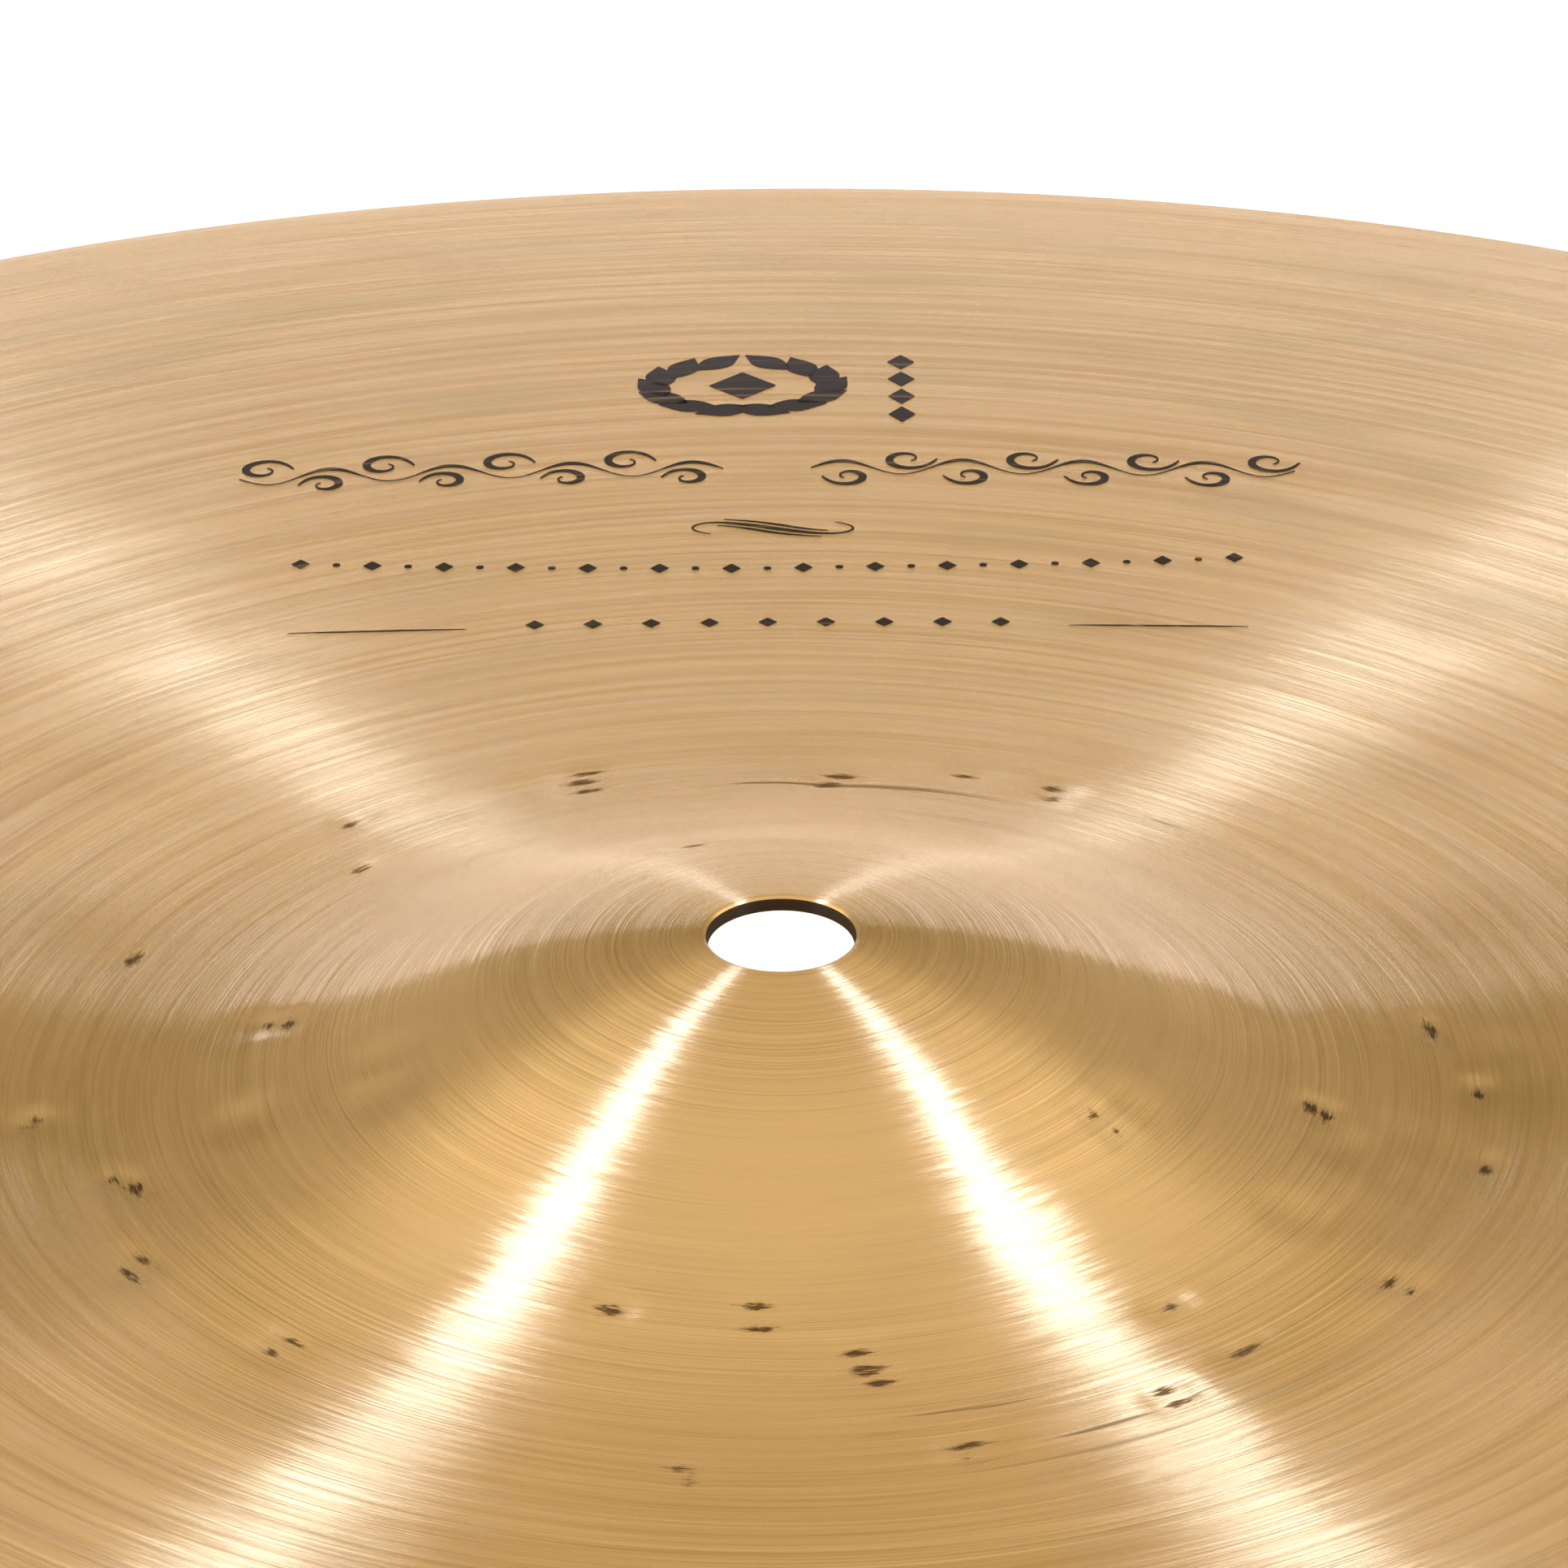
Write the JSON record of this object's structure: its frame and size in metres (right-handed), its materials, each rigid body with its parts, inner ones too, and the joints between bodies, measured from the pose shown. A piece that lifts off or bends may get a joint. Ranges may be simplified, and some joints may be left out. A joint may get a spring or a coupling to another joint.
{
  "type": "suspended cymbal",
  "caption": "Round suspended cymbal of lathed bronze: a raised bell with a plain centre hole for a stand's sleeve, and a shallow bow that thins towards the rim.",
  "frame": {"origin": "centre of the plane that the rim rests on, on the cymbal's axis", "axes": "+Z along the cymbal's axis, from the rim up through the bell; X and Y lie in the plane of the rim, and the cymbal is round about Z"},
  "size_m": [0.4064, 0.4064, 0.033],
  "materials": {
    "bronze": "cast tin bronze, lathed in fine rings on both sides, hand hammered at the bell, unlacquered"
  },
  "bodies": {
    "root": {"cymbal": "bronze"}
  },
  "joints": []
}
